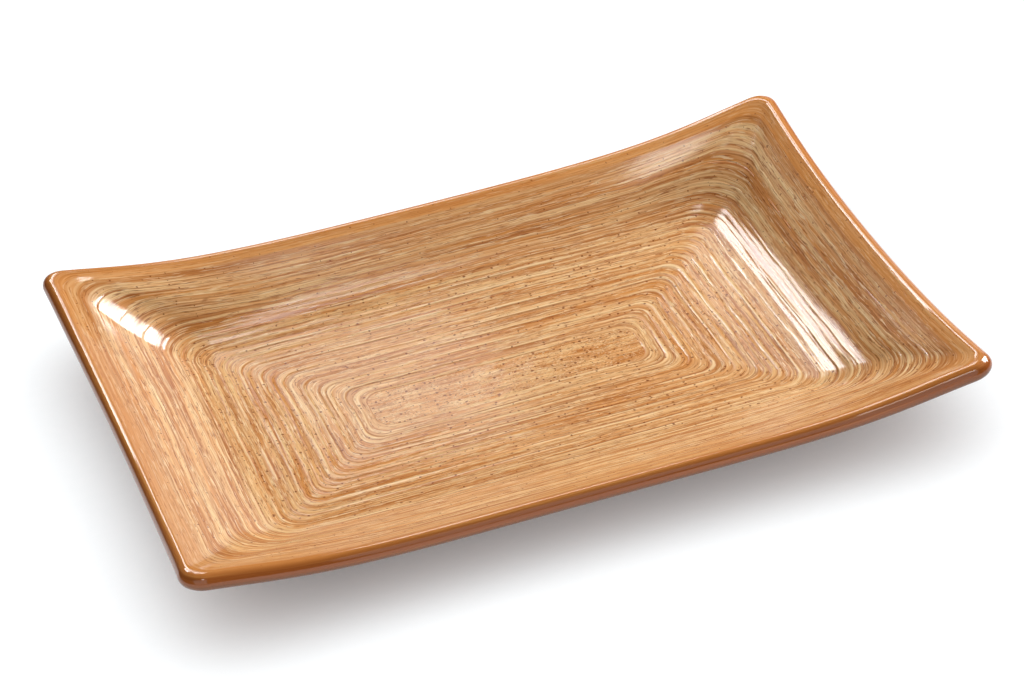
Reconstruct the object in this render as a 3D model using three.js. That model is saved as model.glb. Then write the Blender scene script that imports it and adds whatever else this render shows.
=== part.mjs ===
// Rectangular serving dish in glazed stoneware.
// A press-moulded clay shell stands on a luted foot ring. Its inside is brushed with concentric
// bands of slip round a speckled middle panel, and an amber glaze coats the lip, outside and base.
// Millimetres, +Z up, +X along the dish, origin on the table under the middle of the foot.
import * as THREE from 'three';

// Overall size over the lip. Its rounded corners stand up to 0.5 mm inside this box.
const LENGTH = 280;
const WIDTH = 203;
const HEIGHT = 35;

// Depth from the crest of a corner down to the middle of the floor.
const CORNER_DEPTH = 25.5;

// The wall is one thickness all over, and the lip is its rounded edge.
const WALL_THICKNESS = 6;
const COAT_THICKNESS = 0.8;
const LAYER_GAP = 0.3;

// The rim hangs between its corners, as a curve of the given power on each side.
const LONG_SIDE_DROP = 9.4;
const LONG_SIDE_POWER = 3.85;
const SHORT_SIDE_DROP = 5.7;
const SHORT_SIDE_POWER = 2.2;
const SIDE_BLEND_POWER = 8;

// In plan the middle of each side is drawn in towards the centre.
const LONG_SIDE_DRAWN_IN = 2.75;
const SHORT_SIDE_DRAWN_IN = 2.15;

// Corner radii: small on the rings of the floor, wide half way up the wall, rounded at the lip.
const RING_CORNER = 6;
const WALL_CORNER = 15;
const WALL_CORNER_INSET = 24;
const SPREAD_TO_FLOOR = 18;
const SPREAD_TO_LIP = 12;
const LIP_CORNER_EXTRA = 2;
const LIP_CORNER_SPREAD = 2;

// Section, by the inset from the outer edge: a dished floor, a cove, then a straight wall.
const PANEL_INSET = 91;
const FLOOR_INSET = 46;
const FLOOR_RISE = 3;
const COVE_WIDTH = 20;

// Slip bands, of equal width, between the middle panel and the glazed lip.
const BAND_COUNT = 14;
const LIP_INSET = 7;
const BAND_CROWN = 0.25;

// Foot ring, tapered down to a flat bare face.
const FOOT_OUTER_INSET = 45;
const FOOT_INNER_INSET = 53;
const FOOT_TAPER = 1.4;
const FOOT_EDGE = 0.8;

// Steps of the faceted outline. Side steps crowd towards the corners, where the rim bends most.
const CORNER_STEPS = 3;
const LONG_SIDE_STEPS = 10;
const SHORT_SIDE_STEPS = 6;
const LIP_STEPS = 6;

const HALF_LENGTH = LENGTH / 2;
const HALF_WIDTH = WIDTH / 2;
const LIP_RADIUS = WALL_THICKNESS / 2;
const COAT_BACK = LIP_RADIUS - COAT_THICKNESS;
const CLAY_RADIUS = COAT_BACK - LAYER_GAP;
const BAND_WIDTH = (PANEL_INSET - LIP_INSET) / BAND_COUNT;
const HALF_GAP = LAYER_GAP / 2;
const FLOOR_MIDDLE = HEIGHT - CORNER_DEPTH - LIP_RADIUS;

// Insets of the rows that the shell's section is drawn with, from the panel out to the lip.
const FLOOR_ROWS = [PANEL_INSET, 76, 61, 53];
const WALL_ROWS = [FLOOR_INSET, 39, 32, FLOOR_INSET - COVE_WIDTH, 16, LIP_INSET];

// Plan of the dish.

function cornerRadius(inset) {
  const spread = inset > WALL_CORNER_INSET ? SPREAD_TO_FLOOR : SPREAD_TO_LIP;
  const fromWall = (inset - WALL_CORNER_INSET) / spread;
  const wallExtra = (WALL_CORNER - RING_CORNER) * Math.exp(-fromWall * fromWall);
  const lipExtra = LIP_CORNER_EXTRA * Math.exp(-inset / LIP_CORNER_SPREAD);
  return RING_CORNER + wallExtra + lipExtra;
}

// A point of the corner's arc, where turn goes from 0 to 1. Corners count anticlockwise from +X +Y.
function cornerPoint(corner, turn, inset) {
  const radius = cornerRadius(inset);
  const angle = (corner + turn) * Math.PI / 2;
  const alongX = corner === 0 || corner === 3 ? 1 : -1;
  const alongY = corner < 2 ? 1 : -1;
  return new THREE.Vector2(
    alongX * (HALF_LENGTH - inset - radius) + radius * Math.cos(angle),
    alongY * (HALF_WIDTH - inset - radius) + radius * Math.sin(angle),
  );
}

function straightPoint(station, inset) {
  if (station.share === undefined) {
    return cornerPoint(station.corner, station.turn, inset);
  }
  const start = cornerPoint(station.corner, 1, inset);
  const end = cornerPoint((station.corner + 1) % 4, 0, inset);
  return start.lerp(end, station.share);
}

// The plan point of a station at an inset, with the sides drawn in.
function planPoint(station, inset) {
  const point = straightPoint(station, inset);
  const shareX = point.x / (HALF_LENGTH - LIP_RADIUS);
  const shareY = point.y / (HALF_WIDTH - LIP_RADIUS);
  const drawnX = SHORT_SIDE_DRAWN_IN * (1 - shareY ** 2) * shareX ** 2;
  const drawnY = LONG_SIDE_DRAWN_IN * (1 - shareX ** 2) * shareY ** 2;
  return new THREE.Vector2(
    point.x - Math.sign(point.x) * drawnX,
    point.y - Math.sign(point.y) * drawnY,
  );
}

// How far the rim lies below its corners at a station.
function rimDrop(station) {
  const point = straightPoint(station, LIP_RADIUS);
  const shareX = Math.abs(point.x) / (HALF_LENGTH - LIP_RADIUS);
  const shareY = Math.abs(point.y) / (HALF_WIDTH - LIP_RADIUS);
  const onLong = shareY ** SIDE_BLEND_POWER;
  const onShort = shareX ** SIDE_BLEND_POWER;
  const longDrop = LONG_SIDE_DROP * (1 - shareX ** LONG_SIDE_POWER);
  const shortDrop = SHORT_SIDE_DROP * (1 - shareY ** SHORT_SIDE_POWER);
  return (longDrop * onLong + shortDrop * onShort) / (onLong + onShort);
}

// Stations round the outline, anticlockwise: the arc of each corner, then the side after it.
function makeStations() {
  const stations = [];
  for (let corner = 0; corner < 4; corner += 1) {
    for (let step = 0; step <= CORNER_STEPS; step += 1) {
      stations.push({ corner, turn: step / CORNER_STEPS });
    }
    const sideSteps = corner % 2 === 0 ? LONG_SIDE_STEPS : SHORT_SIDE_STEPS;
    for (let step = 1; step < sideSteps; step += 1) {
      stations.push({ corner, share: (1 - Math.cos(Math.PI * step / sideSteps)) / 2 });
    }
  }
  for (const station of stations) {
    station.drop = rimDrop(station);
  }
  return stations;
}

const STATIONS = makeStations();

// Section of the dish, on the middle surface of its wall.

function floorRise(inset) {
  const run = PANEL_INSET - FLOOR_INSET;
  if (inset < FLOOR_INSET) {
    return FLOOR_RISE * (1 + 2 * (FLOOR_INSET - inset) / run);
  }
  const share = Math.max(PANEL_INSET - inset, 0) / run;
  return FLOOR_RISE * share ** 2;
}

// Share of the wall's own rise: a parabola over the cove, then a straight line up to the lip.
function wallShare(inset) {
  const run = Math.max(FLOOR_INSET - inset, 0);
  const wholeRun = FLOOR_INSET - LIP_RADIUS - COVE_WIDTH / 2;
  if (run < COVE_WIDTH) {
    return run ** 2 / (2 * COVE_WIDTH * wholeRun);
  }
  return (run - COVE_WIDTH / 2) / wholeRun;
}

function middleHeight(station, inset) {
  const lipRise = CORNER_DEPTH - station.drop - floorRise(LIP_RADIUS);
  return FLOOR_MIDDLE + floorRise(inset) + lipRise * wallShare(inset);
}

function wallSlope(station, inset) {
  const step = 0.1;
  const rise = middleHeight(station, inset - step) - middleHeight(station, inset + step);
  return Math.atan2(rise, 2 * step);
}

function placed(station, inset, height) {
  const point = planPoint(station, inset);
  return new THREE.Vector3(point.x, point.y, height);
}

// A point at an offset from the middle surface, square to the wall. Positive is inside the dish.
function wallPoint(station, inset, offset) {
  const slope = wallSlope(station, inset);
  const height = middleHeight(station, inset) + offset * Math.cos(slope);
  return placed(station, inset + offset * Math.sin(slope), height);
}

// A point of the lip's round, where turn goes from 0 on the inside to 1 on the outside.
function lipPoint(station, radius, turn) {
  const angle = wallSlope(station, LIP_RADIUS) + Math.PI * (0.5 - turn);
  const height = middleHeight(station, LIP_RADIUS) + radius * Math.sin(angle);
  return placed(station, LIP_RADIUS - radius * Math.cos(angle), height);
}

// Rows of points, one point for each station.

function wallRow(inset, offset) {
  return STATIONS.map((station) => wallPoint(station, inset, offset));
}

function lipRows(radius) {
  const rows = [];
  for (let step = 0; step <= LIP_STEPS; step += 1) {
    rows.push(STATIONS.map((station) => lipPoint(station, radius, step / LIP_STEPS)));
  }
  return rows;
}

function levelRow(inset, height) {
  return STATIONS.map((station) => placed(station, inset, height));
}

// Solids from rows of points.

function solidFrom(points, triangles) {
  const geometry = new THREE.BufferGeometry();
  geometry.setFromPoints(points);
  geometry.setIndex(triangles);
  geometry.computeVertexNormals();
  return geometry;
}

// Joins two neighbouring rows with triangles that face out when the rows run down the outside.
// Each four-sided patch is split along its shorter diagonal, so layers that touch split alike.
function joinRows(points, triangles, upper, lower) {
  const count = STATIONS.length;
  for (let here = 0; here < count; here += 1) {
    const next = (here + 1) % count;
    const patch = [upper + here, lower + here, lower + next, upper + next];
    const [first, second, third, fourth] = patch.map((index) => points[index]);
    if (second.distanceTo(fourth) < first.distanceTo(third)) {
      patch.push(patch.shift());
    }
    triangles.push(patch[0], patch[1], patch[2]);
    triangles.push(patch[0], patch[2], patch[3]);
  }
}

// A ring whose section is a closed loop of rows.
function ringSolid(rows) {
  const count = STATIONS.length;
  const points = rows.flat();
  const triangles = [];
  rows.forEach((row, index) => {
    joinRows(points, triangles, index * count, ((index + 1) % rows.length) * count);
  });
  return solidFrom(points, triangles);
}

// A plate whose first and last rows are closed over its centre.
function plateSolid(rows) {
  const count = STATIONS.length;
  const points = rows.flat();
  const triangles = [];
  const bottom = (rows.length - 1) * count;
  const topCentre = points.length;
  const bottomCentre = topCentre + 1;
  points.push(new THREE.Vector3(0, 0, points[0].z));
  points.push(new THREE.Vector3(0, 0, points[bottom].z));
  for (let index = 0; index + 1 < rows.length; index += 1) {
    joinRows(points, triangles, index * count, (index + 1) * count);
  }
  for (let here = 0; here < count; here += 1) {
    const next = (here + 1) % count;
    triangles.push(topCentre, here, next);
    triangles.push(bottomCentre, bottom + next, bottom + here);
  }
  return solidFrom(points, triangles);
}

// Pieces.

function clayBody() {
  const insets = [...FLOOR_ROWS, ...WALL_ROWS];
  const inside = insets.map((inset) => wallRow(inset, CLAY_RADIUS));
  const outside = insets.map((inset) => wallRow(inset, -CLAY_RADIUS)).reverse();
  return plateSolid([...inside, ...lipRows(CLAY_RADIUS), ...outside]);
}

function footRing() {
  const top = -CLAY_RADIUS - LAYER_GAP;
  const outerFoot = FOOT_OUTER_INSET + FOOT_TAPER;
  const innerFoot = FOOT_INNER_INSET - FOOT_TAPER;
  return ringSolid([
    wallRow(FOOT_OUTER_INSET, top),
    levelRow(outerFoot, FOOT_EDGE),
    levelRow(outerFoot + FOOT_EDGE, 0),
    levelRow(innerFoot - FOOT_EDGE, 0),
    levelRow(innerFoot, FOOT_EDGE),
    wallRow(FOOT_INNER_INSET, top),
  ]);
}

function slipPanel() {
  const edge = PANEL_INSET + HALF_GAP;
  return plateSolid([wallRow(edge, LIP_RADIUS), wallRow(edge, COAT_BACK)]);
}

// Bands count from the panel outwards. Each is thickest along its middle.
function slipBand(index) {
  const inner = PANEL_INSET - index * BAND_WIDTH - HALF_GAP;
  const outer = PANEL_INSET - (index + 1) * BAND_WIDTH + HALF_GAP;
  const edgeTop = LIP_RADIUS - BAND_CROWN;
  return ringSolid([
    wallRow(inner, edgeTop),
    wallRow((inner + outer) / 2, LIP_RADIUS),
    wallRow(outer, edgeTop),
    wallRow(outer, COAT_BACK),
    wallRow(inner, COAT_BACK),
  ]);
}

function rimGlaze() {
  const edge = LIP_INSET - HALF_GAP;
  return ringSolid([
    wallRow(edge, LIP_RADIUS),
    ...lipRows(LIP_RADIUS),
    wallRow(edge, -LIP_RADIUS),
    wallRow(edge, -COAT_BACK),
    ...lipRows(COAT_BACK).reverse(),
    wallRow(edge, COAT_BACK),
  ]);
}

function outerGlaze() {
  const lipEdge = LIP_INSET + HALF_GAP;
  const footEdge = FOOT_OUTER_INSET - LAYER_GAP;
  const between = WALL_ROWS.filter((inset) => inset > lipEdge && inset < footEdge);
  const insets = [lipEdge, ...between.reverse(), footEdge];
  const face = insets.map((inset) => wallRow(inset, -LIP_RADIUS));
  const back = insets.map((inset) => wallRow(inset, -COAT_BACK));
  return ringSolid([...face, ...back.reverse()]);
}

function baseGlaze() {
  const edge = FOOT_INNER_INSET + LAYER_GAP;
  const insets = [...FLOOR_ROWS.filter((inset) => inset > edge), edge];
  const back = insets.map((inset) => wallRow(inset, -COAT_BACK));
  const face = insets.map((inset) => wallRow(inset, -LIP_RADIUS));
  return plateSolid([...back, ...face.reverse()]);
}

// Finishes, by the colour that each shows.

const BARE_CLAY = { color: 0xc9a27a, roughness: 0.85, metalness: 0 };
const BRUSHED_SLIP = { color: 0xd9ab74, roughness: 0.18, metalness: 0 };
const SPECKLED_SLIP = { color: 0xd4a06a, roughness: 0.2, metalness: 0 };
const AMBER_GLAZE = { color: 0xb9702f, roughness: 0.12, metalness: 0 };
const BROWN_GLAZE = { color: 0x9c6231, roughness: 0.16, metalness: 0 };

const dish = new THREE.Group();
dish.name = 'rectangular_dish';

function addPiece(name, geometry, finish) {
  const mesh = new THREE.Mesh(geometry, new THREE.MeshStandardMaterial(finish));
  mesh.name = name;
  dish.add(mesh);
}

addPiece('clay_body', clayBody(), BARE_CLAY);
addPiece('foot_ring', footRing(), BARE_CLAY);
addPiece('slip_panel', slipPanel(), SPECKLED_SLIP);
for (let index = 0; index < BAND_COUNT; index += 1) {
  const number = String(index + 1).padStart(2, '0');
  addPiece(`slip_band_${number}`, slipBand(index), BRUSHED_SLIP);
}
addPiece('rim_glaze', rimGlaze(), AMBER_GLAZE);
addPiece('outer_glaze', outerGlaze(), BROWN_GLAZE);
addPiece('base_glaze', baseGlaze(), BROWN_GLAZE);

export default dish;
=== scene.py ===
import math

import bpy
import numpy as np
from mathutils import Matrix, Vector, noise


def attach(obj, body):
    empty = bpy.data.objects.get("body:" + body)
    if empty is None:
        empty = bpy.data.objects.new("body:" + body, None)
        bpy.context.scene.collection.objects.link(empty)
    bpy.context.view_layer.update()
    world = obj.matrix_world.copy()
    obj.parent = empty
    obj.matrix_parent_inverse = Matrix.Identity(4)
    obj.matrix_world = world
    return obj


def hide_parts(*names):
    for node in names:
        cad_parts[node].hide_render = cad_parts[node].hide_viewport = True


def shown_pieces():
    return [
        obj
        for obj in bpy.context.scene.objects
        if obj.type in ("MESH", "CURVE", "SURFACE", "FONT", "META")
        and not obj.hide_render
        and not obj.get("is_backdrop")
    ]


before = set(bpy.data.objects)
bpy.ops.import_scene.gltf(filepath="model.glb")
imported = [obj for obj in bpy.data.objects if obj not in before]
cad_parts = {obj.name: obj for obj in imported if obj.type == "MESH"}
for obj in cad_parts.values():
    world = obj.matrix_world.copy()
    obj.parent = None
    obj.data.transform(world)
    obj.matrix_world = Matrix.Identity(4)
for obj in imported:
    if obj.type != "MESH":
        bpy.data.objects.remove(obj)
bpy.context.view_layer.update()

# Clay body: the press-moulded shell of the dish, floor, walls and lip in one sheet of stoneware.
# Its plan is a rectangle with drawn-in sides and its rim hangs between four raised corners.
# Slip and glaze cover it all over. Lengths are in millimetres.
MM = 0.001
HALF_LENGTH = 140.0
HALF_WIDTH = 101.5
WALL_THICKNESS = 6.0
LIP_RADIUS = WALL_THICKNESS / 2
COAT_THICKNESS = 0.8
COAT_BACK = LIP_RADIUS - COAT_THICKNESS
LAYER_GAP = 0.05
CLAY_RADIUS = COAT_BACK - LAYER_GAP
FLOOR_MIDDLE = 6.5
CORNER_DEPTH = 25.5
LONG_SIDE_DROP = 9.4
LONG_SIDE_POWER = 3.85
SHORT_SIDE_DROP = 5.7
SHORT_SIDE_POWER = 2.2
SIDE_BLEND_POWER = 8
LONG_SIDE_DRAWN_IN = 2.75
SHORT_SIDE_DRAWN_IN = 2.15
RING_CORNER = 6.0
WALL_CORNER = 15.0
WALL_CORNER_INSET = 24.0
SPREAD_TO_FLOOR = 18.0
SPREAD_TO_LIP = 12.0
LIP_CORNER_EXTRA = 2.0
LIP_CORNER_SPREAD = 2.0
PANEL_INSET = 91.0
FLOOR_INSET = 46.0
FLOOR_RISE = 3.0
COVE_WIDTH = 20.0
LIP_INSET = 7.0
SPINE_WIDTH = 0.4
SPINE_INSET = HALF_WIDTH - SPINE_WIDTH / 2
SLOPE_STEP = 0.1
SHARP_EDGE = math.radians(50)


def make_stations(corner_steps=12, long_steps=92, short_steps=62):
    """Corner, turn round it and share of the side after it, for each point round the dish."""
    rows = []
    for corner in range(4):
        rows += [(corner, step / corner_steps, 0.0) for step in range(corner_steps + 1)]
        steps = long_steps if corner % 2 == 0 else short_steps
        rows += [(corner, 1.0, (1 - math.cos(math.pi * step / steps)) / 2) for step in range(1, steps)]
    return np.array(rows).T


CORNER, TURN, SHARE = make_stations()


def hump(value, place, spread):
    """One at its place, falling smoothly to nothing on both sides of it."""
    return np.exp(-((value - place) / spread) ** 2)


def corner_point(corner, turn, inset):
    """A point at a turn round a corner, which is widest part of the way up the wall."""
    spread = np.where(inset > WALL_CORNER_INSET, SPREAD_TO_FLOOR, SPREAD_TO_LIP)
    wall_extra = (WALL_CORNER - RING_CORNER) * hump(inset, WALL_CORNER_INSET, spread)
    radius = RING_CORNER + wall_extra + LIP_CORNER_EXTRA * np.exp(-inset / LIP_CORNER_SPREAD)
    radius = np.minimum(radius, HALF_WIDTH - inset)
    angle = (corner + turn) * math.pi / 2
    along_x = np.where((corner == 0) | (corner == 3), 1, -1)
    along_y = np.where(corner < 2, 1, -1)
    x = along_x * (HALF_LENGTH - inset - radius) + radius * np.cos(angle)
    y = along_y * (HALF_WIDTH - inset - radius) + radius * np.sin(angle)
    return np.stack([x, y])


def straight_points(inset):
    """Points round the dish at an inset from its outer edge, with straight sides."""
    start = corner_point(CORNER, TURN, inset)
    end = corner_point((CORNER + 1) % 4, 0.0, inset)
    return start + (end - start) * SHARE


def lip_shares(x, y):
    """How far a point lies out from the middle, as shares of the lip's half length and half width."""
    return x / (HALF_LENGTH - LIP_RADIUS), y / (HALF_WIDTH - LIP_RADIUS)


def plan_points(inset):
    """Points round the dish at an inset from its outer edge, with the sides drawn in."""
    inset = np.broadcast_to(inset, CORNER.shape)
    x, y = straight_points(inset)
    share_x, share_y = lip_shares(x, y)
    drawn_x = SHORT_SIDE_DRAWN_IN * (1 - share_y ** 2) * share_x ** 2
    drawn_y = LONG_SIDE_DRAWN_IN * (1 - share_x ** 2) * share_y ** 2
    return np.stack([x - np.sign(x) * drawn_x, y - np.sign(y) * drawn_y])


def rim_drop():
    """How far the rim hangs below its corners at each station."""
    x, y = np.abs(straight_points(np.full(CORNER.shape, LIP_RADIUS)))
    share_x, share_y = lip_shares(x, y)
    on_long = share_y ** SIDE_BLEND_POWER
    on_short = share_x ** SIDE_BLEND_POWER
    long_drop = LONG_SIDE_DROP * (1 - share_x ** LONG_SIDE_POWER)
    short_drop = SHORT_SIDE_DROP * (1 - share_y ** SHORT_SIDE_POWER)
    return (long_drop * on_long + short_drop * on_short) / (on_long + on_short)


DROP = rim_drop()


def floor_rise(inset):
    """How far the floor has risen from its panel, and its slope carried on beyond it."""
    run = PANEL_INSET - FLOOR_INSET
    dished = FLOOR_RISE * (np.maximum(PANEL_INSET - inset, 0) / run) ** 2
    beyond = FLOOR_RISE * (1 + 2 * (FLOOR_INSET - inset) / run)
    return np.where(inset < FLOOR_INSET, beyond, dished)


def middle_height(inset):
    """Height of the middle of the wall: a dished floor, a cove, then a straight wall to the lip."""
    run = np.maximum(FLOOR_INSET - inset, 0)
    whole_run = FLOOR_INSET - LIP_RADIUS - COVE_WIDTH / 2
    cove = run ** 2 / (2 * COVE_WIDTH * whole_run)
    wall = (run - COVE_WIDTH / 2) / whole_run
    lip_rise = CORNER_DEPTH - DROP - floor_rise(LIP_RADIUS)
    return FLOOR_MIDDLE + floor_rise(inset) + lip_rise * np.where(run < COVE_WIDTH, cove, wall)


def wall_slope(inset):
    """The wall's angle at an inset, from its heights a small step to both sides."""
    rise = middle_height(inset - SLOPE_STEP) - middle_height(inset + SLOPE_STEP)
    return np.arctan2(rise, 2 * SLOPE_STEP)


def level_row(inset, height):
    """A row round the dish at an inset and a height, each one value or one for every station."""
    x, y = plan_points(inset)
    return np.stack([x, y, np.broadcast_to(height, x.shape)], axis=1)


def wall_row(inset, offset):
    """A row square to the wall's middle, at a positive offset inside the dish, or below it."""
    slope = wall_slope(inset)
    return level_row(inset + offset * np.sin(slope), middle_height(inset) + offset * np.cos(slope))


def lip_rows(radius, steps):
    """Rows over the rounded lip, from its inside to its outside."""
    rows = []
    for turn in np.linspace(0.0, 1.0, steps + 1):
        angle = wall_slope(LIP_RADIUS) + math.pi * (0.5 - turn)
        height = middle_height(LIP_RADIUS) + radius * np.sin(angle)
        rows.append(level_row(LIP_RADIUS - radius * np.cos(angle), height))
    return rows


def solid(name, rows, material, plate=False, **marks):
    """A closed mesh through rows round the dish: a ring of rows, or a plate closed at both ends."""
    count = len(CORNER)
    last = (len(rows) - 1) * count
    faces = []
    for index in range(len(rows) - 1 if plate else len(rows)):
        upper = index * count
        lower = (index + 1) % len(rows) * count
        for here in range(count):
            onward = (here + 1) % count
            faces.append((upper + here, lower + here, lower + onward, upper + onward))
    if plate:
        faces.append(tuple(range(count)))
        faces.append(tuple(range(last + count - 1, last - 1, -1)))
    mesh = bpy.data.meshes.new(name)
    mesh.from_pydata((np.concatenate(rows) * MM).tolist(), [], faces)
    for mark, values in marks.items():
        mesh.attributes.new(mark, "FLOAT", "POINT").data.foreach_set("value", np.concatenate(values))
    mesh.shade_smooth()
    mesh.set_sharp_from_angle(angle=SHARP_EDGE)
    mesh.materials.append(material)
    piece = bpy.data.objects.new(name, mesh)
    bpy.context.scene.collection.objects.link(piece)
    return piece


def linear(colour):
    """An sRGB hex colour as linear red, green, blue and alpha."""
    channels = [int(colour[start:start + 2], 16) / 255 for start in (1, 3, 5)]
    return [c / 12.92 if c <= 0.04045 else ((c + 0.055) / 1.055) ** 2.4 for c in channels] + [1.0]


def add(tree, kind, inputs, **settings):
    """Adds a node. Each input is a value, a colour's hex, or the output that is linked to it.

    A socket goes by its name or its number. A colour Mix has its share at 0, its colours at 6 and 7
    and its result at 2, and a Map Range has its value at 0, its range at 1 and 2 and its top at 4.
    """
    made = tree.nodes.new(kind)
    for setting, value in settings.items():
        setattr(made, setting, value)
    for socket, value in inputs.items():
        if isinstance(value, bpy.types.NodeSocket):
            tree.links.new(value, made.inputs[socket])
        else:
            made.inputs[socket].default_value = linear(value) if isinstance(value, str) else value
    return made


def new_finish(name):
    """A material with no nodes yet but its points' places in millimetres."""
    finish = bpy.data.materials.new(name)
    finish.use_nodes = True
    finish.node_tree.nodes.clear()
    place = add(finish.node_tree, "ShaderNodeTexCoord", {})
    place = add(finish.node_tree, "ShaderNodeVectorMath",
                {0: place.outputs["Object"], "Scale": 1 / MM}, operation="SCALE")
    return finish, finish.node_tree, place.outputs[0]


# Fired buff stoneware: a dry matt clay body with sand-sized grog, which shows as fine mottling.
GROG_SIZE = 0.9
GROG_DEPTH = 0.15
buff_clay, tree, place = new_finish("fired_buff_stoneware")
grog = add(tree, "ShaderNodeTexNoise", {"Vector": place, "Scale": 1 / GROG_SIZE, "Detail": 4.0})
mottle = add(tree, "ShaderNodeMix", {0: grog.outputs[0], 6: "#a97f56", 7: "#d8b48c"}, data_type="RGBA")
grain = add(tree, "ShaderNodeBump",
            {"Height": grog.outputs[0], "Strength": 0.6, "Distance": GROG_DEPTH * MM})
shader = add(tree, "ShaderNodeBsdfPrincipled", {"Base Color": mottle.outputs[2], "Roughness": 0.88,
                                                "Normal": grain.outputs[0]})
add(tree, "ShaderNodeOutputMaterial", {0: shader.outputs[0]})

CLAY_ROWS = 60
CLAY_LIP_STEPS = 10
CLAY_LIP_GAP = 1.0
clay_insets = [SPINE_INSET, *np.linspace(PANEL_INSET, LIP_RADIUS + CLAY_LIP_GAP, CLAY_ROWS)]
clay_rows = [wall_row(inset, CLAY_RADIUS) for inset in clay_insets]
clay_rows += lip_rows(CLAY_RADIUS, CLAY_LIP_STEPS)
clay_rows += [wall_row(inset, -CLAY_RADIUS) for inset in reversed(clay_insets)]
clay_shell = solid("clay_shell", clay_rows, buff_clay, plate=True)
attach(clay_shell, "root")
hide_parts("clay_body")

# Foot ring: a rolled strip of the same clay, luted to the underside and turned to a tapered foot.
# Its lower edges are rounded with a sponge and its face is left bare, so that it stands unglazed.
FOOT_OUTER_INSET = 45.0
FOOT_INNER_INSET = 53.0
FOOT_TAPER = 1.4
FOOT_EDGE = 0.8


def foot_side(top_inset, foot_inset, inward):
    """Rows down one side of the foot: its flank, then its edge, which turns inward or outward."""
    top = wall_row(top_inset, -CLAY_RADIUS)
    flank = level_row(foot_inset, FOOT_EDGE)
    rows = [top + (flank - top) * share for share in (0.0, 0.25, 0.5, 0.75)]
    for turn in np.linspace(0.0, math.pi / 2, 5):
        inset = foot_inset + inward * FOOT_EDGE * (1 - np.cos(turn))
        rows.append(level_row(inset, FOOT_EDGE * (1 - np.sin(turn))))
    return rows


foot_rows = foot_side(FOOT_OUTER_INSET, FOOT_OUTER_INSET + FOOT_TAPER, 1)
foot_rows += reversed(foot_side(FOOT_INNER_INSET, FOOT_INNER_INSET - FOOT_TAPER, -1))
bare_foot = solid("bare_foot", foot_rows, buff_clay)
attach(bare_foot, "root")
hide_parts("foot_ring")

# Slip panel: the long speckled field in the middle of the floor, dabbed on before the bands.
# It is iron-bearing slip under clear glaze, and the first band is brushed round its edge.
BAND_COUNT = 14
BAND_WIDTH = (PANEL_INSET - LIP_INSET) / BAND_COUNT
PANEL_EDGE = 1.5
RIDGE_HEIGHT = 0.1
RIDGE_PLACE = 0.55
RIDGE_SPREAD = 0.5
GROOVE_SHARE = 0.55
GROOVE_PLACE = -0.35
GROOVE_SPREAD = 0.4
PILE_LENGTH = 20.0
PILE_DRAW = 7.3
HAIRLINE_DEPTH = 0.05
HAIRLINE_SPREAD = 0.16
HAIRLINE_LENGTH = 17.0
HAIRLINE_DRAW = 5.1
WALL_HAIRLINES = 0.3
WALL_SHARE = 0.03
WALL_TO_FLOOR = (26.0, 41.0)
LIP_TO_WALL = (8.0, 12.0)
HEAP_HEIGHT = 1.15
HEAP_INSET = 9.7
HEAP_END = 22.8
CORNER_REACH = 22.0
FILL_HEIGHT = 0.55
FILL_START = 25.3
FILL_INSET = 32.0
FILL_END = 47.9
FILL_RIGHTWARD = (40.0, 90.0)
FILL_NEARWARD = (0.0, 75.0)

# Reach, length along the stroke, width across it and place in the noise, for each kind of
# unevenness: the brush's sway to the side, the marks of its bristles, and the panel's dabs.
SWAYS = ((0.9, 55, 30, 0), (0.4, 18, 9, 40), (0.08, 7, 4, 70))
SWAY_STARTS = (10.0, 16.0)
SWAY_ENDS = (PANEL_INSET, SPINE_INSET - 2)
BRISTLE_MARKS = ((0.06, 45, 1.3, 150), (0.022, 22, 0.7, 210))
DABS = ((0.05, 8, 1.6, 170), (0.03, 4, 1.0, 190))


def ease(low, high, value):
    """A smooth step from nothing at low to one at high."""
    share = np.clip((value - low) / (high - low), 0.0, 1.0)
    return share * share * (3 - 2 * share)


def wander(points, across, length, width, seed):
    """Smooth noise that changes slowly along the brush's stroke and fast across it."""
    return np.array([noise.noise((x / length, y / length, across / width + seed)) for x, y in points.T])


def near_corner(points, inset):
    """One at the dish's corners, falling to nothing along its sides."""
    x, y = np.abs(points)
    return hump(np.maximum(HALF_LENGTH - inset - x, HALF_WIDTH - inset - y), 0.0, CORNER_REACH)


def gathered(points, inset):
    """The slip that gathers in the far left corner, and along the foot of the right wall's near half."""
    heap = HEAP_HEIGHT * ease(LIP_RADIUS, HEAP_INSET, inset) * (1 - ease(HEAP_INSET, HEAP_END, inset))
    far_left = (points[0] < 0) & (points[1] > 0)
    fill = FILL_HEIGHT * ease(FILL_START, FILL_INSET, inset) * (1 - ease(FILL_INSET, FILL_END, inset))
    near_right = ease(*FILL_RIGHTWARD, points[0]) * ease(*FILL_NEARWARD, -points[1])
    return heap * near_corner(points, inset) * far_left + fill * near_right


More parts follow.
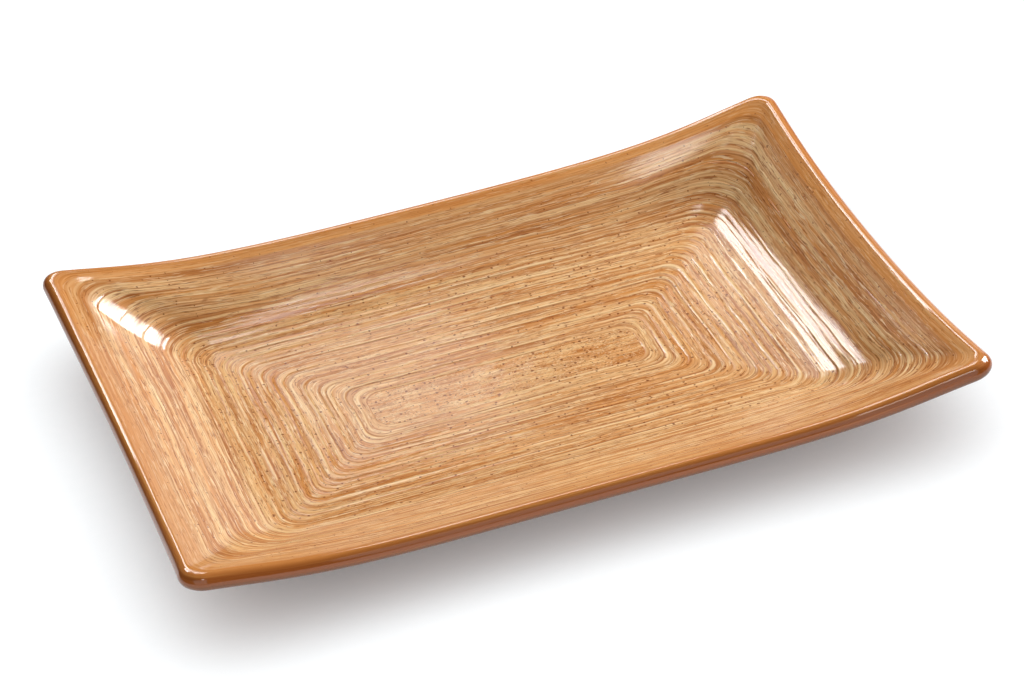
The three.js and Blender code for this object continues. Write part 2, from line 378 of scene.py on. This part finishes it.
def slip_relief(points, inset):
    """How far the brushed surface stands above the even coat."""
    on_floor = WALL_SHARE + (1 - WALL_SHARE) * ease(*WALL_TO_FLOOR, inset)
    on_bands = 1 - ease(PANEL_INSET, PANEL_INSET + PANEL_EDGE, inset)
    across = (PANEL_INSET - inset) / BAND_WIDTH
    band = round(across)
    edge = (across - band) * BAND_WIDTH

    # The slip piles up in patches along a band's edge, with a groove beside it. Each band has its
    # own draw of the noise.
    piled = np.clip(0.6 + 1.5 * wander(points, band * PILE_DRAW, PILE_LENGTH, 1, 90), 0.1, 1.0)
    ridge = hump(edge, RIDGE_PLACE, RIDGE_SPREAD) - GROOVE_SHARE * hump(edge, GROOVE_PLACE, GROOVE_SPREAD)
    relief = RIDGE_HEIGHT * on_floor * on_bands * piled * ridge
    for height, length, width, seed in BRISTLE_MARKS:
        relief = relief + on_floor * height * wander(points, inset, length, width, seed)

    # Two bands part in a hairline here and there, most of all round the corners.
    parted = np.clip(0.3 + 1.8 * wander(points, band * HAIRLINE_DRAW, HAIRLINE_LENGTH, 1, 120), 0.0, 1.0)
    on_wall = WALL_HAIRLINES + (1 - WALL_HAIRLINES) * on_floor
    parted = parted * np.maximum(on_wall, near_corner(points, inset))
    relief = relief - HAIRLINE_DEPTH * parted * on_bands * hump(edge, 0.0, HAIRLINE_SPREAD)
    return relief * ease(*LIP_TO_WALL, inset)


def slip_row(inset):
    """A row of the brushed surface, swayed along its stroke, and its relief."""
    points = plan_points(inset)
    relief = slip_relief(points, inset)
    held = ease(*SWAY_STARTS, inset) * (1 - ease(*SWAY_ENDS, inset))
    sway = held * sum(reach * wander(points, inset, *size) for reach, *size in SWAYS)
    return wall_row(inset + sway, LIP_RADIUS + gathered(points, inset) + relief), relief


# Brushed slip under clear glaze: tan slip in fine parallel streaks, cream where the brush left it
# thick and brown where it dragged thin, with iron specks. The glaze gives crisp, glassy highlights.
RIPPLE_SIZE = 11.0
RIPPLE_REACH = 0.6
CREST = (0.02, 0.09)
TROUGH = (-0.015, -0.07)
NEAR_RIM = (13.0, 5.0)
RAGGED_SIZE = 0.9
RAGGED_REACH = 0.7
SPECK_EDGE = 0.06
SPECK_STRENGTH = 0.85
SLIP_MARK_DEPTH = 0.04
GLAZE_MARK_DEPTH = 0.015


def brushed_slip(tree, place, stroke_length, contrast, speck_cell, speck_size):
    """The slip's colour and its brush lines, for points with a stroke and a relief."""
    inset = add(tree, "ShaderNodeAttribute", {}, attribute_name="stroke").outputs["Fac"]
    relief = add(tree, "ShaderNodeAttribute", {}, attribute_name="relief").outputs["Fac"]
    plan = add(tree, "ShaderNodeSeparateXYZ", {0: place})
    ripple = add(tree, "ShaderNodeTexNoise", {"Vector": place, "Scale": 1 / RIPPLE_SIZE, "Detail": 2.0})
    stroke = add(tree, "ShaderNodeMath", {0: ripple.outputs[0], 1: RIPPLE_REACH, 2: inset},
                 operation="MULTIPLY_ADD")
    along = add(tree, "ShaderNodeCombineXYZ",
                {0: plan.outputs[0], 1: plan.outputs[1], 2: stroke.outputs[0]}).outputs[0]

    def streaks(length, width, low, high, shift):
        """Streaks of a length and a width, where the noise lies between low and high."""
        size = (1 / (length * stroke_length), 1 / (length * stroke_length), 1 / width)
        scaled = add(tree, "ShaderNodeVectorMath", {0: along, 1: size, 2: (shift, shift, shift)},
                     operation="MULTIPLY_ADD")
        pattern = add(tree, "ShaderNodeTexNoise",
                      {"Vector": scaled.outputs[0], "Scale": 1.0, "Detail": 2.0})
        return add(tree, "ShaderNodeMapRange", {0: pattern.outputs[0], 1: low, 2: high},
                   interpolation_type="SMOOTHSTEP").outputs[0]

    # Real bristles leave marks finer than 0.4 mm. They are drawn at 0.4 mm, so that they show.
    broad = streaks(60, 5.0, 0.36, 0.64, 3.0)
    ribbon = streaks(80, 2.6, 0.46, 0.64, 7.0)
    drag = streaks(70, 2.2, 0.50, 0.66, 17.0)
    cream = streaks(50, 1.3, 0.44, 0.68, 11.0)
    brown = streaks(40, 0.9, 0.48, 0.68, 23.0)
    bristle = streaks(22, 0.4, 0.30, 0.70, 37.0)
    fleck = streaks(5, 0.4, 0.58, 0.66, 53.0)
    dash = streaks(3.5, 0.4, 0.58, 0.66, 71.0)
    crest = add(tree, "ShaderNodeMapRange", {0: relief, 1: CREST[0], 2: CREST[1]},
                interpolation_type="SMOOTHSTEP").outputs[0]
    trough = add(tree, "ShaderNodeMapRange", {0: relief, 1: TROUGH[0], 2: TROUGH[1]},
                 interpolation_type="SMOOTHSTEP").outputs[0]
    near_rim = add(tree, "ShaderNodeMapRange", {0: inset, 1: NEAR_RIM[0], 2: NEAR_RIM[1]},
                   interpolation_type="SMOOTHSTEP").outputs[0]
    tone = add(tree, "ShaderNodeMix", {0: broad, 6: "#d9924b", 7: "#edb475"}, data_type="RGBA")
    for cover, strength, colour in (
            (ribbon, 0.55 * contrast, "#f6ce95"), (drag, 0.55 * contrast, "#b86d30"),
            (cream, 0.75 * contrast, "#f8d59d"), (brown, 0.7 * contrast, "#a96029"),
            (bristle, 0.5 * contrast, "#bc7131"), (fleck, 0.65, "#f8dbac"), (dash, 0.7, "#934a16"),
            (crest, 0.72, "#f9d7a3"), (trough, 0.75, "#a45b25"), (near_rim, 0.55, "#c27d3a")):
        share = add(tree, "ShaderNodeMath", {0: cover, 1: strength}, operation="MULTIPLY")
        tone = add(tree, "ShaderNodeMix", {0: share.outputs[0], 6: tone.outputs[2], 7: colour},
                   data_type="RGBA")

    # Iron specks: round to ragged dots in about half of the cells, each of its own size.
    ragged = add(tree, "ShaderNodeTexNoise", {"Vector": place, "Scale": 1 / RAGGED_SIZE, "Detail": 1.0})
    ragged = add(tree, "ShaderNodeVectorMath",
                 {0: ragged.outputs["Color"], 1: (RAGGED_REACH, RAGGED_REACH, 0.0), 2: place},
                 operation="MULTIPLY_ADD")
    specks = add(tree, "ShaderNodeTexVoronoi", {"Vector": ragged.outputs[0], "Scale": 1 / speck_cell},
                 voronoi_dimensions="2D")
    draw = add(tree, "ShaderNodeSeparateColor", {0: specks.outputs["Color"]})
    reach = add(tree, "ShaderNodeMath", {0: draw.outputs[0], 1: 2 * speck_size / speck_cell,
                                         2: -speck_size / speck_cell}, operation="MULTIPLY_ADD")
    inside = add(tree, "ShaderNodeMath", {0: reach.outputs[0], 1: specks.outputs["Distance"]},
                 operation="SUBTRACT")
    speck = add(tree, "ShaderNodeMapRange",
                {0: inside.outputs[0], 1: 0.0, 2: SPECK_EDGE, 4: SPECK_STRENGTH})
    tone = add(tree, "ShaderNodeMix", {0: speck.outputs[0], 6: tone.outputs[2], 7: "#7a3403"},
               data_type="RGBA")
    lines = add(tree, "ShaderNodeMath", {0: cream, 1: bristle}, operation="SUBTRACT")
    return tone.outputs[2], lines.outputs[0]


def gloss(tree, tone, lines, coat_roughness):
    """A matt colour under a glassy coat, with the brush lines felt through both."""
    slip_face = add(tree, "ShaderNodeBump",
                    {"Height": lines, "Strength": 0.5, "Distance": SLIP_MARK_DEPTH * MM})
    glaze_face = add(tree, "ShaderNodeBump",
                     {"Height": lines, "Strength": 0.25, "Distance": GLAZE_MARK_DEPTH * MM})
    shader = add(tree, "ShaderNodeBsdfPrincipled", {
        "Base Color": tone, "Roughness": 0.5, "IOR": 1.5, "Specular IOR Level": 0.05,
        "Coat Weight": 1.0, "Coat Roughness": coat_roughness, "Coat IOR": 1.5,
        "Normal": slip_face.outputs[0], "Coat Normal": glaze_face.outputs[0]})
    add(tree, "ShaderNodeOutputMaterial", {0: shader.outputs[0]})


def dabbed_row(inset):
    """A row of the panel, whose short dabs lie along the dish, and its relief."""
    points = plan_points(inset)
    dabs = 0.0
    for height, length, width, seed in DABS:
        dabs = dabs + height * wander(points * [[1], [length / width]], 0, length, 1, seed)
    held = 1 - ease(PANEL_INSET, PANEL_INSET + PANEL_EDGE, inset)
    relief = slip_relief(points, inset) * held + dabs * (1 - held)
    return wall_row(inset, LIP_RADIUS + relief), relief


panel_slip, tree, place = new_finish("dabbed_slip_under_clear_glaze")
tone, lines = brushed_slip(tree, place, stroke_length=0.25, contrast=0.9, speck_cell=1.9, speck_size=0.6)
gloss(tree, tone, lines, coat_roughness=0.09)
PANEL_ROWS = 30
panel_insets = np.linspace(SPINE_INSET, PANEL_INSET, PANEL_ROWS)
panel_surface = [dabbed_row(inset) for inset in panel_insets[:-1]]
panel_surface.append(slip_row(PANEL_INSET))
panel_rows = [row for row, relief in panel_surface]
panel_relief = [relief for row, relief in panel_surface]
panel_strokes = [PANEL_INSET + plan_points(inset)[1] for inset in panel_insets]
panel_rows.append(wall_row(PANEL_INSET, COAT_BACK))
panel_relief.append(panel_relief[-1])
panel_strokes.append(panel_strokes[-1])
speckled_panel = solid("speckled_panel", panel_rows, panel_slip, plate=True,
                       stroke=panel_strokes, relief=panel_relief)
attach(speckled_panel, "root")
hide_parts("slip_panel")

# Slip bands: fourteen strokes of thick slip, each brushed once round the dish beside the last.
# The brush piles a low ridge along each edge, and a hairline stays open between two strokes.
# The rows of a band's mesh lie close at its edges, where the hairlines are.
EDGE_STEPS = [0.0, 0.12, 0.28]
BRUSH_ROWS = 15
floor_slip, tree, place = new_finish("brushed_slip_under_clear_glaze")
tone, lines = brushed_slip(tree, place, stroke_length=1.0, contrast=1.0, speck_cell=2.7, speck_size=0.55)
gloss(tree, tone, lines, coat_roughness=0.1)
wall_slip, tree, place = new_finish("long_brushed_slip_under_clear_glaze")
tone, lines = brushed_slip(tree, place, stroke_length=1.7, contrast=1.22, speck_cell=2.9, speck_size=0.42)
gloss(tree, tone, lines, coat_roughness=0.13)
band_steps = EDGE_STEPS + list(np.linspace(RIDGE_PLACE, BAND_WIDTH - RIDGE_PLACE, BRUSH_ROWS))
band_steps += [BAND_WIDTH - step for step in reversed(EDGE_STEPS)]
for index in range(BAND_COUNT):
    inner = PANEL_INSET - index * BAND_WIDTH
    outer = inner - BAND_WIDTH
    surface = [slip_row(inner - step) for step in band_steps]
    rows = [row for row, relief in surface] + [wall_row(outer, COAT_BACK), wall_row(inner, COAT_BACK)]
    reliefs = [relief for row, relief in surface] + [surface[-1][1], surface[0][1]]
    strokes = [np.full(CORNER.shape, inner - step) for step in band_steps + [BAND_WIDTH, 0.0]]
    number = f"{index + 1:02d}"
    slip = floor_slip if outer > FLOOR_INSET - COVE_WIDTH / 2 else wall_slip
    band = solid(f"brushed_band_{number}", rows, slip, stroke=strokes, relief=reliefs)
    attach(band, "root")
    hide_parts(f"slip_band_{number}")

# Rim glaze: the amber coat that wraps the rounded lip, where the glaze runs thin and breaks warm.
# It is poured over the edge and wiped even, from just inside the lip to just under it. A stroke here
# is the way over the lip: the inset on its inside, falling through nothing near its crest.
RIM_STEPS = 8
LIP_STEPS = 28
LIP_SHRINK = 0.004
BACK_STEPS = 12
rim_insets = np.linspace(LIP_INSET, LIP_RADIUS, RIM_STEPS + 1)
rim_rows = []
for inset in rim_insets[:-1]:
    rim_rows.append(wall_row(inset, LIP_RADIUS + gathered(plan_points(inset), inset)))
rim_rows += lip_rows(LIP_RADIUS - LIP_SHRINK, LIP_STEPS)
rim_rows += [wall_row(inset, -LIP_RADIUS) for inset in rim_insets[-2::-1]]
back_rows = [wall_row(LIP_INSET, -COAT_BACK)]
back_rows += reversed(lip_rows(COAT_BACK, BACK_STEPS))
back_rows.append(wall_row(LIP_INSET, COAT_BACK))
rim_strokes = [*rim_insets, *(LIP_RADIUS - np.linspace(0, math.pi * LIP_RADIUS, LIP_STEPS + 1)[1:])]
lip_end = rim_strokes[-1]
rim_strokes += [lip_end - (inset - LIP_RADIUS) for inset in rim_insets[-2::-1]]
rim_strokes += list(np.linspace(rim_strokes[-1], LIP_INSET, len(back_rows)))

# Amber gloss glaze: iron-stained glass over clay, clear inside where the slip's streaks run up
# under it, and deeper outside where it is thick. Under the lip it is painted darkest brown, partly the
# outer glaze's own deep brown and partly painted shade. It gives a hard bright line along the crest.
amber_glaze, tree, place = new_finish("amber_gloss_glaze")
slip, lines = brushed_slip(tree, place, stroke_length=1.7, contrast=1.05, speck_cell=2.9, speck_size=0.4)
over_lip = add(tree, "ShaderNodeAttribute", {}, attribute_name="stroke").outputs["Fac"]
tone = slip
# The last layer paints the lip's underside darkest brown: partly the outer glaze's colour, partly painted
# shade under the lip.
for start, end, dark, pale in ((4.5, 0.5, "#bd7634", "#cd8d47"), (1.6, -1.4, "#9c5320", "#ac642e"),
                               (-2.0, -4.5, "#6c3a0c", "#7b4816")):
    glass = add(tree, "ShaderNodeMix", {0: lines, 6: dark, 7: pale}, data_type="RGBA")
    depth = add(tree, "ShaderNodeMapRange", {0: over_lip, 1: start, 2: end},
                interpolation_type="SMOOTHSTEP")
    tone = add(tree, "ShaderNodeMix", {0: depth.outputs[0], 6: tone, 7: glass.outputs[2]},
               data_type="RGBA").outputs[2]
gloss(tree, tone, lines, coat_roughness=0.05)

amber_lip = solid("amber_lip", rim_rows + back_rows, amber_glaze,
                  stroke=[np.full(CORNER.shape, value) for value in rim_strokes])
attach(amber_lip, "root")
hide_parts("rim_glaze")

# Outer glaze: the brown coat on the outside of the wall, from under the lip down to the foot.
# It is dipped, so it runs a little uneven and gathers in a bead where it meets the bare foot.
BEAD_WIDTH = 2.5
BEAD_HEIGHT = 0.5
FOOT_LAP = 0.1
DIP_RUNS = (0.08, 35, 12, 300)
DIP_STARTS = (LIP_INSET, LIP_INSET + 5)
OUTER_ROWS = 60
BACK_EVERY = 6


def coat_row(inset, foot_inset, runs, held):
    """A row of the coat under the dish, with its runs, and its bead beside the foot."""
    reach, length, width, seed = runs
    uneven = held * reach * wander(plan_points(inset), inset, length, width, seed)
    return wall_row(inset, -LIP_RADIUS - uneven - BEAD_HEIGHT * hump(inset, foot_inset, BEAD_WIDTH))


outer_insets = np.linspace(LIP_INSET, FOOT_OUTER_INSET + FOOT_LAP, OUTER_ROWS)
outer_rows = []
for inset in outer_insets:
    outer_rows.append(coat_row(inset, FOOT_OUTER_INSET, DIP_RUNS, ease(*DIP_STARTS, inset)))
outer_rows += [wall_row(inset, -COAT_BACK) for inset in outer_insets[::-BACK_EVERY]]

# Brown gloss glaze: the same glass laid thicker, a deep brown with soft darker runs and a wet shine.
RUN_SIZE = 18.0
SPECK_CELL = 2.6
SPECK_REACH = (0.14, 0.08)
brown_glaze, tree, place = new_finish("brown_gloss_glaze")
runs = add(tree, "ShaderNodeTexNoise", {"Vector": place, "Scale": 1 / RUN_SIZE, "Detail": 3.0})
runs = add(tree, "ShaderNodeMapRange", {0: runs.outputs[0], 1: 0.3, 2: 0.7},
           interpolation_type="SMOOTHSTEP")
tone = add(tree, "ShaderNodeMix", {0: runs.outputs[0], 6: "#6f3a17", 7: "#7f4a24"}, data_type="RGBA")
specks = add(tree, "ShaderNodeTexVoronoi", {"Vector": place, "Scale": 1 / SPECK_CELL})
speck = add(tree, "ShaderNodeMapRange",
            {0: specks.outputs["Distance"], 1: SPECK_REACH[0], 2: SPECK_REACH[1], 4: 0.6})
tone = add(tree, "ShaderNodeMix", {0: speck.outputs[0], 6: tone.outputs[2], 7: "#4f2a10"}, data_type="RGBA")
shader = add(tree, "ShaderNodeBsdfPrincipled", {
    "Base Color": tone.outputs[2], "Roughness": 0.5, "IOR": 1.5, "Specular IOR Level": 0.05,
    "Coat Weight": 1.0, "Coat Roughness": 0.06, "Coat IOR": 1.5})
add(tree, "ShaderNodeOutputMaterial", {0: shader.outputs[0]})

brown_outside = solid("brown_outside", outer_rows, brown_glaze)
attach(brown_outside, "root")
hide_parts("outer_glaze")

# Base glaze: the brown coat inside the foot ring, poured in and swirled, so it lies a little uneven.
# It stops against the inner side of the foot in the same rounded bead.
SWIRL_RUNS = (0.1, 40, 25, 500)
BASE_ROWS = 50
BASE_MIDDLE = PANEL_INSET + 6
base_insets = [SPINE_INSET, *np.linspace(BASE_MIDDLE, FOOT_INNER_INSET - FOOT_LAP, BASE_ROWS)]
base_rows = [wall_row(inset, -COAT_BACK) for inset in base_insets]
base_rows += [coat_row(inset, FOOT_INNER_INSET, SWIRL_RUNS, 1.0) for inset in reversed(base_insets)]
brown_base = solid("brown_base", base_rows, brown_glaze, plate=True)
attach(brown_base, "root")
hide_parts("base_glaze")

# Table: a plain white sheet of paper, far wider than the dish, which fills the view.
# It takes the dish's shadow, and a lift on what the eye and the glaze see of it whitens the rest.
TABLE_HALF = 3.0
FIBRE_SIZE = 4.0
WHITE_LIFT = 0.14
white_sheet, tree, place = new_finish("white_paper_sheet")
fibre = add(tree, "ShaderNodeTexNoise", {"Vector": place, "Scale": 1 / FIBRE_SIZE, "Detail": 3.0})
tone = add(tree, "ShaderNodeMix", {0: fibre.outputs[0], 6: "#f6fafc", 7: "#fafdff"}, data_type="RGBA")
paper = add(tree, "ShaderNodeBsdfPrincipled", {"Base Color": tone.outputs[2], "Roughness": 0.9,
                                               "Specular IOR Level": 0.0})
seen = add(tree, "ShaderNodeLightPath", {})
shown = add(tree, "ShaderNodeMath", {0: seen.outputs["Is Camera Ray"], 1: seen.outputs["Is Glossy Ray"]},
            operation="ADD")
shown = add(tree, "ShaderNodeMath", {0: shown.outputs[0], 1: seen.outputs["Is Transmission Ray"]},
            operation="ADD", use_clamp=True)
lift = add(tree, "ShaderNodeMath", {0: shown.outputs[0], 1: WHITE_LIFT}, operation="MULTIPLY")
glow = add(tree, "ShaderNodeEmission", {"Color": "#ffffff", "Strength": 1.0})
sheet = add(tree, "ShaderNodeMixShader", {0: lift.outputs[0], 1: paper.outputs[0], 2: glow.outputs[0]})
add(tree, "ShaderNodeOutputMaterial", {0: sheet.outputs[0]})
mesh = bpy.data.meshes.new("table_sheet")
corners = [(x * TABLE_HALF, y * TABLE_HALF, 0.0) for x, y in ((-1, -1), (1, -1), (1, 1), (-1, 1))]
mesh.from_pydata(corners, [], [(0, 1, 2, 3)])
mesh.materials.append(white_sheet)
table_sheet = bpy.data.objects.new("table_sheet", mesh)
bpy.context.scene.collection.objects.link(table_sheet)
table_sheet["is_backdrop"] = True

# Studio: soft boxes round the dish in a dim grey room, each with flags that keep it off the rest.
# Four light the whole dish, two its inside but not the lip, four the lip alone, and one the table,
# which so holds only the short soft shadow of a light overhead. Boxes are in metres.
lit_dish = bpy.data.collections.new("lit_dish")
lit_inside = bpy.data.collections.new("lit_inside")
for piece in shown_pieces():
    lit_dish.objects.link(piece)
    if piece != amber_lip:
        lit_inside.objects.link(piece)
lit_lip = bpy.data.collections.new("lit_lip")
lit_lip.objects.link(amber_lip)
lit_table = bpy.data.collections.new("lit_table")
lit_table.objects.link(table_sheet)
SOFT_BOXES = {
    "back_box": dict(azimuth=-5.18, elevation=40.79, distance=3.0, width=0.41, height=0.78,
                     radiance=12.5, spin=-9, lights=lit_dish),
    "wing_box": dict(azimuth=7.88, elevation=38.04, distance=3.0, width=0.66, height=0.95,
                     radiance=2.0, lights=lit_dish),
    "side_box": dict(azimuth=62.0, elevation=38.0, distance=1.6, width=0.7, height=0.6,
                     radiance=24.5, lights=lit_dish),
    "pale_wall": dict(azimuth=30.26, elevation=13.55, distance=3.44, width=1.1, height=1.1,
                      radiance=0.7, lights=lit_dish),
    "key_box": dict(azimuth=40.46, elevation=32.45, distance=1.99, width=0.16, height=1.0,
                    radiance=15.0, spin=19, shape="ELLIPSE", lights=lit_inside),
    "loft_box": dict(azimuth=19.15, elevation=65.82, distance=4.06, width=0.5, height=0.5,
                     radiance=6.5, lights=lit_inside),
    "sill_box": dict(azimuth=6.57, elevation=30.43, distance=2.97, width=0.3, height=0.95,
                     radiance=7.0, lights=lit_lip),
    "lip_box": dict(azimuth=15.0, elevation=49.0, distance=3.0, width=0.6, height=0.8,
                    radiance=7.0, lights=lit_lip),
    "front_box": dict(azimuth=169.35, elevation=58.13, distance=2.58, width=0.36, height=0.44,
                      radiance=6.0, lights=lit_lip),
    "front_sheet": dict(azimuth=192.5, elevation=30.8, distance=2.5, width=2.5, height=2.5,
                        radiance=1.0, lights=lit_lip),
    "table_box": dict(azimuth=152.0, elevation=80.35, distance=2.0, width=9.0, height=9.0,
                      radiance=1.5, lights=lit_table),
}


def direction(azimuth, elevation):
    """Away from the dish, by degrees from straight behind it towards its right, and by degrees up."""
    azimuth = math.radians(azimuth)
    elevation = math.radians(elevation)
    return Vector((math.sin(azimuth) * math.cos(elevation), math.cos(azimuth) * math.cos(elevation),
                   math.sin(elevation)))


def facing(back, spin):
    """The turn of a lamp or a camera whose back points that way, spun about its axis by degrees."""
    level = Vector((0.0, 0.0, 1.0)).cross(back).normalized()
    upright = Matrix((level, back.cross(level), back)).transposed()
    return upright @ Matrix.Rotation(math.radians(spin), 3, "Z")


for name, box in SOFT_BOXES.items():
    lamp = bpy.data.lights.new(name, "AREA")
    lamp.shape = box.get("shape", "RECTANGLE")
    lamp.size = box["width"]
    lamp.size_y = box["height"]
    lamp.energy = box["radiance"] * math.pi * box["width"] * box["height"]
    back = direction(box["azimuth"], box["elevation"])
    turn = facing(back, box.get("spin", 0))
    stand = bpy.data.objects.new(name, lamp)
    stand.matrix_world = Matrix.Translation(back * box["distance"]) @ turn.to_4x4()
    stand.light_linking.receiver_collection = box["lights"]
    bpy.context.scene.collection.objects.link(stand)

ROOM_LIGHT = 0.04
room = bpy.data.worlds.new("grey_room")
room.use_nodes = True
room.node_tree.nodes["Background"].inputs["Color"].default_value = linear("#ffffff")
room.node_tree.nodes["Background"].inputs["Strength"].default_value = ROOM_LIGHT
bpy.context.scene.world = room
bpy.context.scene.view_settings.view_transform = "Standard"

# Camera: a long lens that looks down on the dish from its front left, a little rolled.
# It stands the view's distance from a point over the table, shifted aside and below for the framing.
LENS = 137.1
SENSOR_WIDTH = 36.0
VIEW_DISTANCE = 1334.4
VIEW_HEIGHT = 32.0
VIEW_AZIMUTH = 195.57
VIEW_ELEVATION = 33.25
ROLL = -6.0
ASIDE = 3.78
BELOW = 6.79
back = direction(VIEW_AZIMUTH, VIEW_ELEVATION)
turn = facing(back, ROLL)
right, up, back = turn.transposed()
eye = VIEW_DISTANCE * back + ASIDE * right - BELOW * up + Vector((0.0, 0.0, VIEW_HEIGHT))
lens = bpy.data.cameras.new("long_lens")
lens.sensor_fit = "HORIZONTAL"
lens.sensor_width = SENSOR_WIDTH
lens.lens = LENS
camera = bpy.data.objects.new("long_lens", lens)
camera.matrix_world = Matrix.Translation(eye * MM) @ turn.to_4x4()
bpy.context.scene.collection.objects.link(camera)
bpy.context.scene.camera = camera
